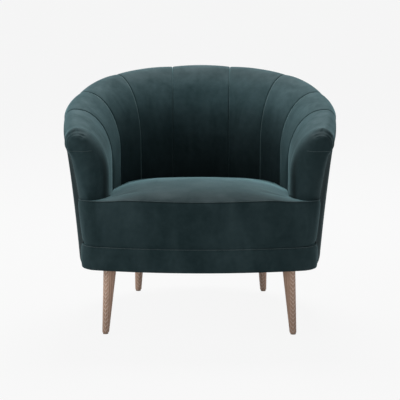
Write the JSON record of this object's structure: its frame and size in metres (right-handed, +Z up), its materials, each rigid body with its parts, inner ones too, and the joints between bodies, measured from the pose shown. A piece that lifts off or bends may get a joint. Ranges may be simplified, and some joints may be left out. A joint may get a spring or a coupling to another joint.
{
  "type": "channel-back tub armchair",
  "caption": "Tub armchair in dark velvet with a channelled wraparound back that rolls over the top, a fixed crowned seat and turned tapered oak legs.",
  "frame": {"origin": "on the floor, under the middle of the chair's bounding box", "axes": "+X to the sitter's left, +Y to the back of the chair, +Z up; the sitter faces -Y"},
  "size_m": [0.823, 0.7945, 0.716],
  "materials": {
    "velvet": "cut velvet",
    "oak": "satin",
    "frame_timber": "sawn",
    "plywood": "sawn",
    "lining_board": "pressed fibre",
    "zinc_steel": "zinc plated",
    "spring_steel": "oiled",
    "seat_foam": "open cell foam",
    "grey_felt": "needled felt",
    "black_cloth": "non-woven",
    "nylon": "moulded"
  },
  "bodies": {
    "root": {"leg_front_left": "oak", "leg_front_right": "oak", "leg_rear_left": "oak", "leg_rear_right": "oak", "floor_glides": "nylon", "hanger_bolts": "zinc_steel", "bolt_nuts": "zinc_steel", "leg_plates": "zinc_steel", "leg_plate_screws": "zinc_steel", "spring_clips": "zinc_steel", "corner_blocks": "frame_timber", "front_seat_rail": "frame_timber", "rear_seat_rail": "frame_timber", "side_seat_rail_left": "frame_timber", "side_seat_rail_right": "frame_timber", "front_bow_rail": "frame_timber", "base_board": "plywood", "rib_back_centre": "plywood", "rib_back_left": "plywood", "rib_back_right": "plywood", "rib_side_left": "plywood", "rib_side_right": "plywood", "rib_arm_left": "plywood", "rib_arm_right": "plywood", "arm_post_left": "frame_timber", "arm_post_right": "frame_timber", "rim_back": "plywood", "rim_arm_left": "plywood", "rim_arm_right": "plywood", "back_lining": "lining_board", "arm_lining_left": "lining_board", "arm_lining_right": "lining_board", "zigzag_springs": "spring_steel", "spring_tie_wires": "spring_steel", "seat_felt": "grey_felt", "seat_foam": "seat_foam", "seat_top_cover": "velvet", "seat_front_border": "velvet", "channel_centre": "velvet", "channel_1_left": "velvet", "channel_1_right": "velvet", "channel_2_left": "velvet", "channel_2_right": "velvet", "channel_3_left": "velvet", "channel_3_right": "velvet", "channel_4_left": "velvet", "channel_4_right": "velvet", "arm_cap_left": "velvet", "arm_cap_right": "velvet", "arm_facing_left": "velvet", "arm_facing_right": "velvet", "outside_back_cover": "velvet", "outside_arm_cover_left": "velvet", "outside_arm_cover_right": "velvet", "front_band": "velvet", "dust_cover": "black_cloth"}
  },
  "joints": []
}
